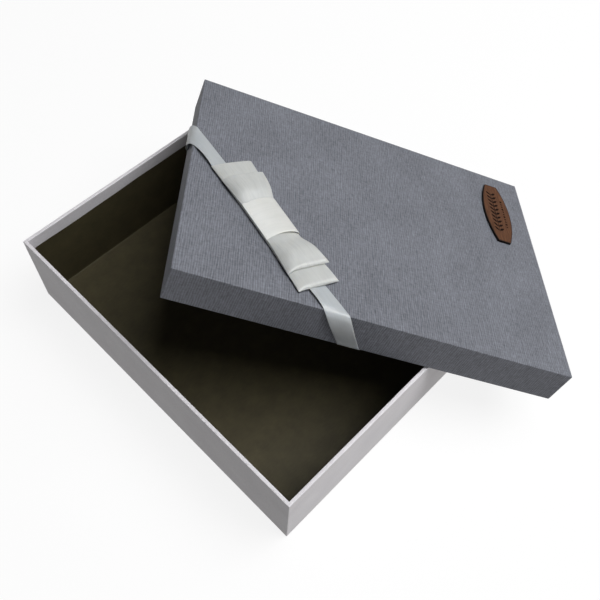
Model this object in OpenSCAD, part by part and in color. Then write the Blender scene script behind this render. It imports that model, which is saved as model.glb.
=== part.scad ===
// Rigid set-up gift box: an open tray and a telescoping lid, in millimetres.
// The origin is the middle of the tray's underside, +X along the long side,
// +Y towards the back and +Z up. The lid leans on the tray: it crosses the
// back rim and the right rim, and its far corner comes down to the table.

/* [Tray] */
// Outside length of the tray, along X
tray_w = 300; // [260:5:420]
// Outside depth of the tray, along Y
tray_d = 220; // [140:5:264]
// Outside height of the tray
tray_h = 80; // [50:2:120]
// Thickness of the greyboard that the tray is made of
tray_board = 2.4; // [1.5:0.1:3.5]
// How far the white paper is turned in over the rim
tray_turn_in = 12; // [8:1:20]
// How far the white paper is turned under the floor
floor_margin = 15; // [8:1:25]
// How far the sheet on the underside stops short of the tray's edges
sheet_inset = 3; // [1:0.5:7]

/* [Lid] */
// Height of the lid's skirt, with the top
lid_h = 30; // [20:1:45]
// Gap between the lid's skirt and the tray on each side, when the lid is on
lid_clearance = 0.9; // [0.3:0.1:2]
// Thickness of the greyboard that the lid is made of
lid_board = 2; // [1.2:0.1:3]
// How far the linen paper is turned in under the skirt
lid_turn_in = 14; // [11:1:17]

/* [Lean of the lid] */
// Where the lid crosses the back rim, in percent of the rim from its left end
lean_back = 15.5; // [10:0.5:18]
// Where the lid crosses the right rim, in percent of the rim from its front end
lean_right = 67.3; // [60:0.1:68]
// How far the lid's middle lies outside the line between the two crossings
lean_overhang = 17.5; // [5:0.5:20]
// Gap that keeps the leaning lid's paper just off the rims
lean_gap = 0.2; // [0.1:0.05:0.5]
// Gap between the lid's low corner and the table
table_gap = 0.4; // [0.2:0.1:2]

/* [Papers] */
// Thickness of the white paper on the tray, and of the sheet on its underside
wrap_t = 0.25; // [0.15:0.05:0.4]
// Thickness of the linen-embossed paper on the lid
linen_t = 0.3; // [0.15:0.05:0.5]
// Thickness of the dark lining papers
lining_t = 0.2; // [0.1:0.05:0.3]
// Thickness of the paper tape that stays the corners
stay_t = 0.2; // [0.1:0.05:0.4]
// Width of each leg of a corner's tape
stay_w = 18; // [10:1:25]

/* [Ribbon and bow] */
// Width of the satin ribbon that crosses the lid's corner
ribbon_w = 15; // [8:1:20]
// Thickness of the ribbon
ribbon_t = 0.3; // [0.2:0.05:0.5]
// Where the ribbon crosses the lid's left edge, from the back left corner
ribbon_from_back = 83; // [75:1:110]
// Where the ribbon crosses the lid's front edge, from the front left corner
ribbon_on_front = 115; // [100:1:140]
// How far the ribbon drifts along the front edge for each millimetre down it
front_drift = 0.7; // [0.5:0.01:1]
// How far the ribbon drifts along the left edge for each millimetre down it
left_drift = 1; // [0.5:0.01:1.3]
// Length of each ribbon end glued inside the skirt
ribbon_tail = 10; // [5:1:11]
// Width of the ribbon that the bow is folded from
bow_w = 36; // [25:1:38]
// Length of the bow's lower loop
bow_lower_l = 125; // [100:1:140]
// Length of the bow's upper loop
bow_upper_l = 94; // [75:1:98]
// Width that the loops are pinched to in the middle
bow_waist_w = 28; // [20:1:34]
// Thickness of each flattened loop
bow_loop_t = 2.8; // [1.5:0.1:4]
// Length of the band that wraps the bow's middle, along the bow
bow_band_l = 36; // [20:1:38]
// Thickness of that band
bow_band_t = 0.5; // [0.3:0.1:0.8]
// How far the bow's middle is past the ribbon's, towards the lid's front edge
bow_shift = 6; // [0:1:12]
// How far the bow's middle is off the ribbon's line, towards the lid's middle
bow_offset = 4; // [-5:1:5]
// Angle that the bow is turned from the ribbon, in degrees
bow_skew = 4; // [-5:1:5]
// Thickness of the glue pad under the bow
bow_pad_t = 0.8; // [0.5:0.1:2]
// Length of the glue pad, along the bow
bow_pad_l = 24; // [14:1:32]
// Width of the glue pad
bow_pad_w = 12; // [6:1:14]

/* [Plaque] */
// Length of the wooden plaque
plaque_l = 76; // [50:1:90]
// Width of the plaque at its middle
plaque_w = 26; // [18:1:34]
// Width of the plaque's cut ends
plaque_end_w = 12; // [8:1:16]
// Thickness of the plaque
plaque_t = 2; // [1:0.5:4]
// Thickness of the adhesive under the plaque
plaque_glue_t = 0.3; // [0.1:0.1:0.6]
// Middle of the plaque, from the lid's right edge
plaque_from_right = 32; // [20:1:60]
// Middle of the plaque, from the lid's back edge
plaque_from_back = 55; // [50:1:75]
// How far the adhesive stops short of the plaque's outline
plaque_glue_inset = 3; // [1:0.5:5]

/* [Hidden] */

// Colours of the materials
greyboard = "#a39c90";
kraft_tape = "#b08a5c";
white_paper = "#dcdade";
dark_lining = "#3a3424";
linen_paper = "#7b7e85";
cream_satin = "#c8cac6";
burnt_wood = "#52402f";
clear_glue = "#d8d2bc";

// Tray, from the underside up and from the outside in
tray_wall = tray_board + 2 * wrap_t;
tray_paper_z = wrap_t;
tray_board_z = 2 * wrap_t;
tray_floor_z = tray_board_z + tray_board;
tray_core_w = tray_w - 2 * wrap_t;
tray_core_d = tray_d - 2 * wrap_t;
tray_core_top = tray_h - wrap_t;
tray_in_w = tray_core_w - 2 * tray_board;
tray_in_d = tray_core_d - 2 * tray_board;
tray_core_h = tray_core_top - tray_board_z;

// Lid, in its own frame: the origin is the middle of the skirt's lower edge
lid_wall = lid_board + 2 * linen_t;
lid_w = tray_w + 2 * (lid_clearance + lid_wall);
lid_d = tray_d + 2 * (lid_clearance + lid_wall);
lid_core_w = lid_w - 2 * linen_t;
lid_core_d = lid_d - 2 * linen_t;
lid_core_top = lid_h - linen_t;
lid_skirt_top = lid_core_top - lid_board;
lid_skirt_h = lid_skirt_top - linen_t;
lid_in_w = lid_core_w - 2 * lid_board;
lid_in_d = lid_core_d - 2 * lid_board;
lid_ceiling = lid_skirt_top - lining_t;

// Lean: the two crossings are back_x on the back rim and right_y on the right
// rim, the lid tips about the line between them, and it tips until its low
// corner meets the table or its ceiling meets the tray's corner.
back_x = tray_w * (lean_back / 100 - 0.5);
right_y = tray_d * (lean_right / 100 - 0.5);
reach_x = tray_w / 2 - back_x;
reach_y = tray_d / 2 - right_y;
rim_line = norm([reach_x, reach_y]);
rim_line_angle = atan2(reach_y, reach_x);
lid_span = lid_d - 2 * lid_wall;
lid_turn = asin(lid_span / rim_line);
lid_slide = (lean_overhang + lid_span / 2 * cos(lid_turn)) / sin(lid_turn);
low_corner_reach = (lid_slide + lid_w / 2) * sin(lid_turn) + lid_wall * cos(lid_turn);
tip_to_table = (tray_h + lean_gap - table_gap) / low_corner_reach;
tip_to_ceiling = (lid_ceiling - lean_gap) / (reach_x * sin(rim_line_angle));
lid_tip = asin(min(tip_to_table, tip_to_ceiling));

// Ribbon: its length across the top, how far it runs along an edge for each
// millimetre past it, and half of its width as an edge cuts it
ribbon_on_left = lid_d - ribbon_from_back;
ribbon_across = norm([ribbon_on_left, ribbon_on_front]);
left_run = ribbon_on_left / ribbon_on_front;
front_run = ribbon_on_front / ribbon_on_left;
ribbon_slope = atan2(ribbon_on_left, ribbon_on_front);
left_half = ribbon_w / 2 / cos(ribbon_slope);
front_half = ribbon_w / 2 / sin(ribbon_slope);

// Bow, stacked upwards from the ribbon
bow_pad_z = lid_h + ribbon_t;
bow_band_z = bow_pad_z + bow_pad_t;
bow_lower_z = bow_band_z + bow_band_t;
bow_upper_z = bow_lower_z + bow_loop_t;
bow_stack_h = 2 * bow_loop_t + 2 * bow_band_t;

// Plaque: radius of the arcs that its long sides follow
plaque_bulge = (plaque_w - plaque_end_w) / 2;
plaque_arc_r = (pow(plaque_l / 2, 2) + pow(plaque_bulge, 2)) / (2 * plaque_bulge);

// Upright rectangular frame, centred on Z: outside w by d, walls band thick
module frame_wall(w, d, band, z0, z1) {
    translate([0, 0, z0])
        linear_extrude(z1 - z0)
            difference() {
                square([w, d], center = true);
                square([w - 2 * band, d - 2 * band], center = true);
            }
}

// Flat sheet or board, centred on Z
module flat_sheet(w, d, z0, t) {
    translate([-w / 2, -d / 2, z0])
        cube([w, d, t]);
}

// Board along a long side of a w by d frame: side is -1 for the front, 1 for the back
module long_board(w, d, t, side, z0, h) {
    translate([-w / 2, side > 0 ? d / 2 - t : -d / 2, z0])
        cube([w, t, h]);
}

// Board along a short side, between the long ones: side is -1 for the left
module short_board(w, d, t, side, z0, h) {
    translate([side > 0 ? w / 2 - t : -w / 2, -d / 2 + t, z0])
        cube([t, d - 2 * t, h]);
}

// Tape folded round the four corners of a w by d frame, flush with its outside
module corner_stays(w, d, z0, h) {
    intersection() {
        frame_wall(w, d, stay_t, z0, z0 + h);
        for (x = [-1, 1], y = [-1, 1])
            translate([x * w / 2, y * d / 2, z0 + h / 2])
                cube([2 * stay_w, 2 * stay_w, h], center = true);
    }
}

// Sets its children on the leaning lid, from the lid's own frame
module on_lid() {
    translate([back_x, tray_d / 2, tray_h + lean_gap])
        rotate(a = -lid_tip, v = [cos(rim_line_angle), -sin(rim_line_angle), 0])
            rotate([0, 0, lid_turn - rim_line_angle])
                translate([lid_slide, -lid_span / 2, 0])
                    children();
}

// Sets its children in the bow's frame: +X along the bow, middle at the origin
module on_bow() {
    on_lid()
        translate([-lid_w / 2, ribbon_on_left - lid_d / 2, 0])
            rotate([0, 0, -ribbon_slope])
                translate([ribbon_across / 2 + bow_shift, bow_offset, 0])
                    rotate([0, 0, -bow_skew])
                        children();
}

module tray_floor_board() {
    color(greyboard) flat_sheet(tray_in_w, tray_in_d, tray_board_z, tray_board);
}

module tray_board_cut() {
    difference() {
        children();
        corner_stays(tray_core_w, tray_core_d, tray_board_z, tray_core_h);
    }
}

module tray_front_board() {
    color(greyboard) tray_board_cut()
        long_board(tray_core_w, tray_core_d, tray_board, -1, tray_board_z, tray_core_h);
}

module tray_back_board() {
    color(greyboard) tray_board_cut()
        long_board(tray_core_w, tray_core_d, tray_board, 1, tray_board_z, tray_core_h);
}

module tray_left_board() {
    color(greyboard) tray_board_cut()
        short_board(tray_core_w, tray_core_d, tray_board, -1, tray_board_z, tray_core_h);
}

module tray_right_board() {
    color(greyboard) tray_board_cut()
        short_board(tray_core_w, tray_core_d, tray_board, 1, tray_board_z, tray_core_h);
}

module tray_corner_stays() {
    color(kraft_tape) corner_stays(tray_core_w, tray_core_d, tray_board_z, tray_core_h);
}

// White paper: up the outside, over the rim, down inside and under the floor
module tray_outer_wrap() {
    color(white_paper) union() {
        frame_wall(tray_w, tray_d, wrap_t, tray_paper_z, tray_h);
        frame_wall(tray_w, tray_d, tray_wall, tray_core_top, tray_h);
        frame_wall(tray_in_w, tray_in_d, wrap_t, tray_h - tray_turn_in, tray_h);
        frame_wall(tray_w, tray_d, floor_margin, tray_paper_z, tray_board_z);
    }
}

module tray_underside_sheet() {
    color(white_paper)
        flat_sheet(tray_w - 2 * sheet_inset, tray_d - 2 * sheet_inset, 0, wrap_t);
}

module tray_wall_lining() {
    color(dark_lining)
        frame_wall(tray_in_w, tray_in_d, lining_t, tray_floor_z, tray_h - tray_turn_in);
}

module tray_floor_lining() {
    color(dark_lining)
        flat_sheet(tray_in_w - 2 * lining_t, tray_in_d - 2 * lining_t, tray_floor_z, lining_t);
}

module lid_top_board() {
    color(greyboard) on_lid() flat_sheet(lid_core_w, lid_core_d, lid_skirt_top, lid_board);
}

module lid_board_cut() {
    difference() {
        children();
        corner_stays(lid_core_w, lid_core_d, linen_t, lid_skirt_h);
    }
}

module lid_front_board() {
    color(greyboard) on_lid() lid_board_cut()
        long_board(lid_core_w, lid_core_d, lid_board, -1, linen_t, lid_skirt_h);
}

module lid_back_board() {
    color(greyboard) on_lid() lid_board_cut()
        long_board(lid_core_w, lid_core_d, lid_board, 1, linen_t, lid_skirt_h);
}

module lid_left_board() {
    color(greyboard) on_lid() lid_board_cut()
        short_board(lid_core_w, lid_core_d, lid_board, -1, linen_t, lid_skirt_h);
}

module lid_right_board() {
    color(greyboard) on_lid() lid_board_cut()
        short_board(lid_core_w, lid_core_d, lid_board, 1, linen_t, lid_skirt_h);
}

module lid_corner_stays() {
    color(kraft_tape) on_lid() corner_stays(lid_core_w, lid_core_d, linen_t, lid_skirt_h);
}

// Grey linen-embossed paper: over the top, down the skirt and turned in
module lid_linen_wrap() {
    color(linen_paper) on_lid() union() {
        frame_wall(lid_w, lid_d, linen_t, 0, lid_h);
        flat_sheet(lid_w, lid_d, lid_core_top, linen_t);
        frame_wall(lid_w, lid_d, lid_wall, 0, linen_t);
        frame_wall(lid_in_w, lid_in_d, linen_t, 0, lid_turn_in);
    }
}

module lid_lining() {
    color(dark_lining) on_lid() union() {
        flat_sheet(lid_in_w, lid_in_d, lid_ceiling, lining_t);
        frame_wall(lid_in_w, lid_in_d, lining_t, lid_turn_in, lid_ceiling + lining_t);
    }
}

// Ribbon down one skirt, under its edge and up inside. X runs along the skirt
// from the front left corner, +Y is outwards and run is the drift along X per
// millimetre of ribbon.
module skirt_ribbon(at, half, run) {
    under = lid_wall + 2 * ribbon_t;
    low_x = at + run * (lid_h + ribbon_t);
    inner_x = low_x + run * under;
    end_x = inner_x + run * (ribbon_tail + ribbon_t);
    translate([0, ribbon_t, 0])
        rotate([90, 0, 0])
            linear_extrude(ribbon_t)
                polygon([[at - half, lid_h], [at + half, lid_h],
                    [low_x + half, -ribbon_t], [low_x - half, -ribbon_t]]);
    translate([0, 0, -ribbon_t])
        linear_extrude(ribbon_t)
            polygon([[low_x - half, ribbon_t], [low_x + half, ribbon_t],
                [inner_x + half, ribbon_t - under], [inner_x - half, ribbon_t - under]]);
    translate([0, -lid_wall, 0])
        rotate([90, 0, 0])
            linear_extrude(ribbon_t)
                polygon([[inner_x - half, -ribbon_t], [inner_x + half, -ribbon_t],
                    [end_x + half, ribbon_tail], [end_x - half, ribbon_tail]]);
}

module ribbon_band() {
    color(cream_satin) on_lid() translate([-lid_w / 2, -lid_d / 2, 0]) union() {
        translate([0, 0, lid_h])
            linear_extrude(ribbon_t)
                polygon([
                    [-ribbon_t, ribbon_on_left + left_half + left_run * ribbon_t],
                    [-ribbon_t, ribbon_on_left - left_half + left_run * ribbon_t],
                    [ribbon_on_front - front_half + front_run * ribbon_t, -ribbon_t],
                    [ribbon_on_front + front_half + front_run * ribbon_t, -ribbon_t]
                ]);
        rotate([0, 0, 90])
            skirt_ribbon(ribbon_on_left, left_half, left_drift);
        mirror([0, 1, 0])
            skirt_ribbon(ribbon_on_front, front_half, front_drift);
    }
}

// Flattened loop of ribbon: round ends, and pinched in plan under the centre band
module bow_loop(l, z) {
    r = bow_loop_t / 2;
    flat_l = bow_band_l / 2 + 1;
    translate([0, 0, z])
        intersection() {
            translate([0, bow_w / 2, 0])
                rotate([90, 0, 0])
                    linear_extrude(bow_w)
                        union() {
                            translate([-l / 2 + r, 0])
                                square([l - 2 * r, bow_loop_t]);
                            for (side = [-1, 1])
                                translate([side * (l / 2 - r), r])
                                    circle(r, $fn = 32);
                        }
            linear_extrude(bow_loop_t)
                polygon([
                    [-l / 2, -bow_w / 2], [-flat_l, -bow_waist_w / 2],
                    [flat_l, -bow_waist_w / 2], [l / 2, -bow_w / 2],
                    [l / 2, bow_w / 2], [flat_l, bow_waist_w / 2],
                    [-flat_l, bow_waist_w / 2], [-l / 2, bow_w / 2]
                ]);
        }
}

module bow_lower_loop() {
    color(cream_satin) on_bow() bow_loop(bow_lower_l, bow_lower_z);
}

module bow_upper_loop() {
    color(cream_satin) on_bow() bow_loop(bow_upper_l, bow_upper_z);
}

// Band of ribbon round the middle of both loops
module bow_centre_band() {
    band_w = bow_waist_w + 2 * bow_band_t;
    color(cream_satin) on_bow()
        translate([-bow_band_l / 2, 0, bow_band_z])
            rotate([90, 0, 90])
                linear_extrude(bow_band_l)
                    difference() {
                        translate([-band_w / 2, 0])
                            square([band_w, bow_stack_h]);
                        translate([-bow_waist_w / 2, bow_band_t])
                            square([bow_waist_w, 2 * bow_loop_t]);
                    }
}

module bow_glue_pad() {
    color(clear_glue) on_bow() flat_sheet(bow_pad_l, bow_pad_w, bow_pad_z, bow_pad_t);
}

// Plaque outline: two arcs with square-cut ends
module plaque_outline(inset) {
    arc_x = plaque_arc_r - plaque_w / 2;
    intersection() {
        translate([arc_x, 0])
            circle(plaque_arc_r - inset, $fn = 180);
        translate([-arc_x, 0])
            circle(plaque_arc_r - inset, $fn = 180);
        square([plaque_w, plaque_l - 2 * inset], center = true);
    }
}

module on_plaque() {
    on_lid()
        translate([lid_w / 2 - plaque_from_right, lid_d / 2 - plaque_from_back, lid_h])
            children();
}

module plaque() {
    color(burnt_wood) on_plaque()
        translate([0, 0, plaque_glue_t])
            linear_extrude(plaque_t)
                plaque_outline(0);
}

module plaque_adhesive() {
    color(clear_glue) on_plaque()
        linear_extrude(plaque_glue_t)
            plaque_outline(plaque_glue_inset);
}

tray_floor_board();
tray_front_board();
tray_back_board();
tray_left_board();
tray_right_board();
tray_corner_stays();
tray_outer_wrap();
tray_underside_sheet();
tray_wall_lining();
tray_floor_lining();
lid_top_board();
lid_front_board();
lid_back_board();
lid_left_board();
lid_right_board();
lid_corner_stays();
lid_linen_wrap();
lid_lining();
ribbon_band();
bow_lower_loop();
bow_upper_loop();
bow_centre_band();
bow_glue_pad();
plaque();
plaque_adhesive();
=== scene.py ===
"""Rigid set-up gift box: the papered tray, and its lid leaning on the rims.

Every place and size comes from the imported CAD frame. The papers, ribbons and
plaque are made here as thin sheets and shells over the CAD boards, each in the
frame of the part that it is glued to. All lengths are in metres.
"""

import logging
import math
from collections.abc import Callable
from dataclasses import dataclass, field
from enum import Enum

import bpy
from mathutils import Matrix, Vector


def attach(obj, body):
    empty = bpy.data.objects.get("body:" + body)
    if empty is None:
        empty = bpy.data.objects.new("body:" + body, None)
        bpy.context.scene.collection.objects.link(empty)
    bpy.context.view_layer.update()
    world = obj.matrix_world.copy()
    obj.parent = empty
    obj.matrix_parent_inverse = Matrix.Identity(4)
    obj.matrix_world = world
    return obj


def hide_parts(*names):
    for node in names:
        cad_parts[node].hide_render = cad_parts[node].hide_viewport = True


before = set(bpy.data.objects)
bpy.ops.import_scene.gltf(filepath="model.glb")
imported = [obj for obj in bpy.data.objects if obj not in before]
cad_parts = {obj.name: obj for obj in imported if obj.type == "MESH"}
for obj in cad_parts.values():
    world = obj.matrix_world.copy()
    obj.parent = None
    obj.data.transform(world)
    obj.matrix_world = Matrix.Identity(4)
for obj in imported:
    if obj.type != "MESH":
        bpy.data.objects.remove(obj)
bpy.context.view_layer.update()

Tree = bpy.types.NodeTree
Socket = bpy.types.NodeSocket
Node = bpy.types.Node
Piece = bpy.types.Object
Turns = tuple[tuple[float, float], ...]
log = logging.getLogger("gift_box")


def mm(value: float) -> float:
    """Turns millimetres to metres."""
    return value / 1000.0


def linear(colour: str) -> tuple[float, float, float, float]:
    """Turns an sRGB hex colour to linear red, green, blue and alpha.

    Args:
        colour: The colour as "#rrggbb".

    Returns:
        The linear colour, with an alpha of 1.
    """
    shares = [int(colour[i : i + 2], 16) / 255.0 for i in (1, 3, 5)]
    red, green, blue = [c / 12.92 if c <= 0.04045 else ((c + 0.055) / 1.055) ** 2.4 for c in shares]
    return red, green, blue, 1.0


def ease(value: float) -> float:
    """Rises smoothly from 0 to 1 as the value does, and is level outside that."""
    t = min(max(value, 0.0), 1.0)
    return t * t * (3.0 - 2.0 * t)


def hand_cut(along: float, seed: float) -> float:
    """How far a paper's edge strays from straight, in metres.

    Args:
        along: Place along the edge, in metres.
        seed: A number that makes each edge its own.

    Returns:
        The edge's offset, within about half a millimetre.
    """
    slow = math.sin(along / mm(23) + 2.1 * seed)
    quick = math.sin(along / mm(7.5) + 5.3 * seed)
    return mm(0.34) * slow + mm(0.15) * quick


def add(
    tree: Tree,
    kind: str,
    inputs: dict[str | int, object] | None = None,
    **settings: object,
) -> Node:
    """Adds a node, with its settings, its values and its links.

    Args:
        tree: The node tree.
        kind: The node's type.
        inputs: For each socket, by name or place, a value or an output to link.
        **settings: The node's own properties.

    Returns:
        The new node.
    """
    node = tree.nodes.new(kind)
    for name, value in settings.items():
        setattr(node, name, value)
    for name, value in (inputs or {}).items():
        if isinstance(value, Socket):
            tree.links.new(value, node.inputs[name])
        else:
            node.inputs[name].default_value = value
    return node


class Coordinates(Enum):
    """Where a finish's pattern is laid out."""

    UNFOLDED = "UV"
    SOLID = "Object"


@dataclass(frozen=True)
class Finish:
    """What a surface is made of, as one material."""

    name: str
    slot: str

    def material(self) -> bpy.types.Material:
        """Makes the material once, and finds it again after that.

        Returns:
            The material.
        """
        found = bpy.data.materials.get(self.name)
        if found is not None:
            return found
        made = bpy.data.materials.new(self.name)
        made.use_nodes = True
        made.node_tree.nodes.clear()
        shader = self.shader(made.node_tree)
        add(made.node_tree, "ShaderNodeOutputMaterial", {"Surface": shader.outputs[0]})
        return made

    def shader(self, tree: Tree) -> Node:
        """Adds the finish's nodes, and returns the shader."""
        raise NotImplementedError

    def place(self, tree: Tree, where: Coordinates) -> Socket:
        """Returns the coordinates of a pattern, in metres."""
        return add(tree, "ShaderNodeTexCoord").outputs[where.value]

    def cloud(
        self,
        tree: Tree,
        where: Socket,
        cell: tuple[float, float, float],
        detail: float = 2.0,
    ) -> Socket:
        """Lays an even cloud of spots or streaks.

        Args:
            tree: The node tree.
            where: The pattern's coordinates.
            cell: Size of one spot along each axis, in millimetres.
            detail: How many finer layers it has.

        Returns:
            A value from 0 to 1.
        """
        scale = tuple(1000.0 / size for size in cell)
        spread = add(tree, "ShaderNodeMapping", {"Vector": where, "Scale": scale})
        noise = add(
            tree,
            "ShaderNodeTexNoise",
            {"Vector": spread.outputs[0], "Scale": 1.0, "Detail": detail, "Roughness": 0.55},
        )
        return noise.outputs[0]

    def between(
        self,
        tree: Tree,
        value: Socket,
        ends: tuple[float, float],
        colours: tuple[str, str],
    ) -> Socket:
        """Runs from one colour to another as a value goes between two ends.

        Args:
            tree: The node tree.
            value: The value.
            ends: The values at which each colour is whole.
            colours: The two colours.

        Returns:
            The colour.
        """
        ramp = add(tree, "ShaderNodeValToRGB", {"Fac": value})
        for stop, place, colour in zip(ramp.color_ramp.elements, ends, colours):
            stop.position = place
            stop.color = linear(colour)
        return ramp.outputs[0]

    def mix(self, tree: Tree, share: float, first: Socket, second: Socket) -> Socket:
        """Mixes two values, with a share of the second from 0 to 1."""
        return add(tree, "ShaderNodeMix", {0: share, 2: first, 3: second}).outputs[0]

    def relief(
        self,
        tree: Tree,
        height: Socket,
        depth: float,
        strength: float,
        **under: Socket,
    ) -> Socket:
        """Raises a pattern from the surface.

        Args:
            tree: The node tree.
            height: The pattern, from 0 to 1.
            depth: How high it stands, in metres.
            strength: How much of that the eye gets.
            **under: A coarser relief under it, as Normal.

        Returns:
            The surface's normal.
        """
        inputs = {"Height": height, "Distance": depth, "Strength": strength, **under}
        return add(tree, "ShaderNodeBump", inputs).outputs[0]

    def coat(
        self,
        tree: Tree,
        colour: Socket,
        normal: Socket,
        shine: dict[str, object],
    ) -> Node:
        """Makes the shader from the surface's colour, its normal and its shine."""
        return add(tree, "ShaderNodeBsdfPrincipled", {"Base Color": colour, "Normal": normal, **shine})


@dataclass(frozen=True)
class Speckled(Finish):
    """A finish whose one soft pattern both tints the surface and roughens it."""

    pale: str
    shade: str
    cell: tuple[float, float, float]
    detail: float = 3.0
    ends: tuple[float, float] = (0.3, 0.7)
    depth: float = mm(0.08)
    strength: float = 0.5
    roughness: float = 0.6
    specular: float = 0.5
    clear: float = 0.0

    def shader(self, tree: Tree) -> Node:
        """Adds the finish's nodes, and returns the shader."""
        spots = self.cloud(tree, self.place(tree, Coordinates.SOLID), self.cell, self.detail)
        colour = self.between(tree, spots, self.ends, (self.shade, self.pale))
        normal = self.relief(tree, spots, self.depth, self.strength)
        shine = {
            "Roughness": self.roughness,
            "Specular IOR Level": self.specular,
            "Transmission Weight": self.clear,
        }
        return self.coat(tree, colour, normal, shine)


@dataclass(frozen=True)
class Greyboard(Speckled):
    """Recycled greyboard. The eye gets a warm grey with pale and dark flecks."""

    pale: str = "#aea79b"
    shade: str = "#8f887c"
    cell: tuple[float, float, float] = (0.9, 0.9, 0.9)
    detail: float = 4.0
    ends: tuple[float, float] = (0.35, 0.65)
    roughness: float = 0.85


@dataclass(frozen=True)
class KraftTape(Speckled):
    """Gummed kraft tape. The eye gets a tan paper with fine machine ribs."""

    pale: str = "#bd965f"
    shade: str = "#9c7748"
    cell: tuple[float, float, float] = (4, 4, 0.5)
    depth: float = mm(0.06)


@dataclass(frozen=True)
class Char(Speckled):
    """Wood that a laser has burnt. The eye gets a sooty brown black."""

    pale: str = "#20150f"
    shade: str = "#0c0807"
    cell: tuple[float, float, float] = (0.8, 0.8, 0.8)
    depth: float = mm(0.1)
    roughness: float = 0.9
    specular: float = 0.08


@dataclass(frozen=True)
class GlueFilm(Speckled):
    """Dried hot glue and film adhesive. The eye gets a cloudy amber."""

    pale: str = "#e2dbc2"
    shade: str = "#c9bf9f"
    cell: tuple[float, float, float] = (1.5, 1.5, 1.5)
    detail: float = 2.0
    depth: float = mm(0.2)
    strength: float = 0.4
    roughness: float = 0.3
    clear: float = 0.3


@dataclass(frozen=True)
class LinenPaper(Finish):
    """Paper embossed with a plain linen weave.

    The eye gets a dull blue-grey with fine broken ribs down the sheet's short side,
    fainter threads across, and cloudy patches where the press bit less. The hollows
    of the weave are painted darker than its threads: painted shade, on top of the relief.
    """

    thread: str = "#888b94"
    # Painted shade: the darker colour of the weave's hollows.
    groove_shade: str = "#4f5157"
    # The real threads are 0.5 mm apart, too fine to show: they are drawn wider.
    rib_pitch: float = 1.7
    slub_length: float = 8.0
    roughness: float = 0.62

    def shader(self, tree: Tree) -> Node:
        """Adds the finish's nodes, and returns the shader."""
        where = self.place(tree, Coordinates.UNFOLDED)
        scale = (1000 / self.rib_pitch, 1000 / self.rib_pitch / 6, 1)
        lay = add(tree, "ShaderNodeMapping", {"Vector": where, "Scale": scale})
        wavering = {
            "Vector": lay.outputs[0],
            "Scale": math.pi / 10,
            "Distortion": 5.5,
            "Detail": 3.0,
            "Detail Scale": 1.8,
            "Detail Roughness": 0.65,
        }
        ribs = add(tree, "ShaderNodeTexWave", wavering, bands_direction="X").outputs["Fac"]
        warp = self.cloud(tree, where, (self.rib_pitch * 0.6, self.slub_length, 1), 2.5)
        weft = self.cloud(tree, where, (self.slub_length * 0.7, self.rib_pitch * 0.75, 1), 2.5)
        fleck = self.cloud(tree, where, (1.6, 2.6, 1), 3.0)
        woven = self.mix(tree, 0.34, self.mix(tree, 0.72, ribs, warp), weft)
        flecked = self.mix(tree, 0.22, woven, fleck)
        uneven = self.mix(tree, 0.17, flecked, self.cloud(tree, where, (38, 60, 1), 3.0))
        # The weave's hollows take the darker colour: painted shade in the grooves.
        colour = self.between(tree, uneven, (0.33, 0.67), (self.groove_shade, self.thread))
        shine = {"Roughness": self.roughness, "Specular IOR Level": 0.3}
        return self.coat(tree, colour, self.relief(tree, flecked, mm(0.3), 0.85), shine)


@dataclass(frozen=True)
class CoverPaper(Finish):
    """Uncoated white cover paper, glued down by hand.

    The eye gets a soft lavender white with faint fibres and a slight unevenness
    from the glue under it.
    """

    pale: str = "#e8e6e9"
    shade: str = "#d6d3d7"
    roughness: float = 0.5

    def shader(self, tree: Tree) -> Node:
        """Adds the finish's nodes, and returns the shader."""
        where = self.place(tree, Coordinates.SOLID)
        fibres = self.cloud(tree, where, (1.2, 1.2, 1.2), 3.0)
        glue = self.cloud(tree, where, (38, 38, 38))
        mottle = self.mix(tree, 0.5, fibres, glue)
        colour = self.between(tree, mottle, (0.32, 0.68), (self.shade, self.pale))
        ripple = self.relief(tree, glue, mm(1.2), 0.25)
        grain = self.relief(tree, fibres, mm(0.05), 0.4, Normal=ripple)
        return self.coat(tree, colour, grain, {"Roughness": self.roughness})


@dataclass(frozen=True)
class LiningPaper(Finish):
    """Dark olive lining paper with a matt face.

    The eye gets a deep olive brown that is slightly mottled, with fine laid lines.
    """

    pale: str = "#4a442f"
    shade: str = "#3a3524"
    roughness: float = 0.6

    def shader(self, tree: Tree) -> Node:
        """Adds the finish's nodes, and returns the shader."""
        where = self.place(tree, Coordinates.UNFOLDED)
        laid = self.cloud(tree, where, (0.8, 6, 1))
        mottle = self.mix(tree, 0.6, laid, self.cloud(tree, where, (14, 14, 1), 4.0))
        colour = self.between(tree, mottle, (0.3, 0.7), (self.shade, self.pale))
        shine = {"Roughness": self.roughness, "Specular IOR Level": 0.25}
        return self.coat(tree, colour, self.relief(tree, laid, mm(0.06), 0.5), shine)


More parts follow.
